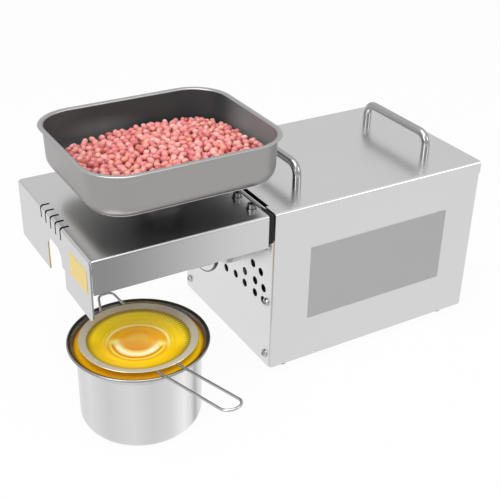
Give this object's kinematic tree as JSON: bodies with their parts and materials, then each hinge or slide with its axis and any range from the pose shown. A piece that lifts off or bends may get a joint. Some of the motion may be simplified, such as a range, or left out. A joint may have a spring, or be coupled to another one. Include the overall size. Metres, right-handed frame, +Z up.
{
  "type": "screw oil press",
  "caption": "Table-top seed press: sheet-steel motor housing, hinged hood over a screw barrel, loose feed pan of seeds above, and a pot with a wire strainer catching the oil.",
  "frame": {"origin": "centre of the set's bounding box at the table top", "axes": "+X from the hood to the motor housing, +Y from the near side with the grey plate to the far side, +Z up"},
  "size_m": [0.427, 0.2982, 0.234],
  "materials": {
    "housing_steel": "satin stainless sheet",
    "hood_steel": "satin stainless sheet",
    "handle_steel": "polished stainless bar",
    "screw_steel": "plated steel",
    "hinge_steel": "satin stainless sheet",
    "seal_rubber": "matt",
    "foot_rubber": "matt",
    "grey_plate": "bare printed film",
    "yellow_plate": "bare printed film",
    "barrel_steel": "turned steel",
    "press_screw_steel": "ground steel",
    "heater_cover": "heat-tinted steel",
    "thermostat_plastic": "matt",
    "gear_steel": "oiled steel",
    "cast_alloy": "as cast",
    "bearing_steel": "ground",
    "motor_paint": "satin paint",
    "fan_plastic": "matt",
    "board_green": "lacquered",
    "component_blue": "matt",
    "switch_black": "fine texture",
    "rocker_red": "gloss",
    "inlet_black": "fine texture",
    "blade_brass": "bright",
    "pan_steel": "satin stainless, bright rim",
    "seed_skin": "dry pink skins",
    "pot_steel": "polished stainless",
    "strainer_steel": "bright stainless",
    "wire_steel": "bright wire",
    "oil": "clear yellow liquid"
  },
  "bodies": {
    "frame": {"cover": "housing_steel", "carry_handles": "handle_steel", "handle_screws": "screw_steel", "end_panel": "housing_steel", "rear_panel": "housing_steel", "panel_screws": "screw_steel", "base_plate": "housing_steel", "feet": "foot_rubber", "foot_screws": "screw_steel", "hinge_leaf_fixed": "hinge_steel", "hinge_pin": "hinge_steel", "hood_seal": "seal_rubber", "info_plate": "grey_plate", "barrel": "barrel_steel", "barrel_disc": "barrel_steel", "barrel_bolts": "screw_steel", "heater_band": "heater_cover", "thermostat": "thermostat_plastic", "gearbox_case": "cast_alloy", "gearbox_lid": "cast_alloy", "gearbox_bearings": "bearing_steel", "motor_can": "motor_paint", "motor_saddle": "cast_alloy", "control_board": "board_green", "board_components": "component_blue", "switch_frames": "switch_black", "mains_inlet": "inlet_black", "inlet_blades": "blade_brass", "fuse_holder": "inlet_black"},
    "hood": {"hood": "hood_steel", "hinge_leaf_moving": "hinge_steel", "hood_bolts": "screw_steel", "hood_plate": "yellow_plate"},
    "pan": {"feed_pan": "pan_steel", "seed_heap": "seed_skin"},
    "nut": {"nose_nut": "barrel_steel"},
    "screw": {"press_screw": "press_screw_steel", "output_gear": "gear_steel"},
    "cluster": {"cluster_gear": "gear_steel"},
    "rotor": {"motor_shaft": "gear_steel", "motor_pinion": "gear_steel", "motor_fan": "fan_plastic"},
    "heat_switch": {"heat_rocker": "rocker_red"},
    "drive_switch": {"drive_rocker": "switch_black"},
    "pot": {"pot": "pot_steel", "pot_oil": "oil"},
    "strainer": {"strainer_band": "strainer_steel", "strainer_mesh": "strainer_steel", "strainer_wire": "wire_steel", "strainer_oil": "oil"}
  },
  "joints": [
    {"name": "hood_hinge", "type": "hinge", "parent": "frame", "child": "hood", "pos_m": [-0.02971, 0.06406, 0.1686], "axis": [0, 1, 0], "range_deg": [0, 95]},
    {"name": "pan_lift", "type": "slide", "parent": "frame", "child": "pan", "axis": [0, 0, 1], "range_m": [0, 0.29]},
    {"name": "nose_nut_turn", "type": "hinge", "parent": "frame", "child": "nut", "pos_m": [-0.16501, 0.06256, 0.116], "axis": [1, 0, 0], "range_deg": [-180, 180]},
    {"name": "screw_spin", "type": "hinge", "parent": "frame", "child": "screw", "pos_m": [-0.02601, 0.06256, 0.116], "axis": [1, 0, 0], "continuous": true},
    {"name": "cluster_spin", "type": "hinge", "parent": "frame", "child": "cluster", "pos_m": [0.00399, 0.0947, 0.0777], "axis": [1, 0, 0], "continuous": true},
    {"name": "rotor_spin", "type": "hinge", "parent": "frame", "child": "rotor", "pos_m": [0.00399, 0.05137, 0.07006], "axis": [1, 0, 0], "continuous": true},
    {"name": "heat_rocker_tilt", "type": "hinge", "parent": "frame", "child": "heat_switch", "pos_m": [0.20969, 0.06306, 0.131], "axis": [0, 1, 0], "range_deg": [-18, 0]},
    {"name": "drive_rocker_tilt", "type": "hinge", "parent": "frame", "child": "drive_switch", "pos_m": [0.20969, 0.02906, 0.131], "axis": [0, 1, 0], "range_deg": [-9, 9]},
    {"name": "pot_slide", "type": "slide", "parent": "frame", "child": "pot", "axis": [0, -1, 0], "range_m": [0, 0.16]},
    {"name": "strainer_lift", "type": "slide", "parent": "pot", "child": "strainer", "axis": [0, 0, 1], "range_m": [0, 0.08]}
  ],
  "couplings": [
    {"joint": "pan_lift", "follows": "hood_hinge", "m_per_rad": 0.17},
    {"joint": "cluster_spin", "follows": "screw_spin", "ratio": -3.7059},
    {"joint": "rotor_spin", "follows": "screw_spin", "ratio": 15.478},
    {"joint": "strainer_lift", "follows": "pot_slide", "ratio": 0.5}
  ]
}
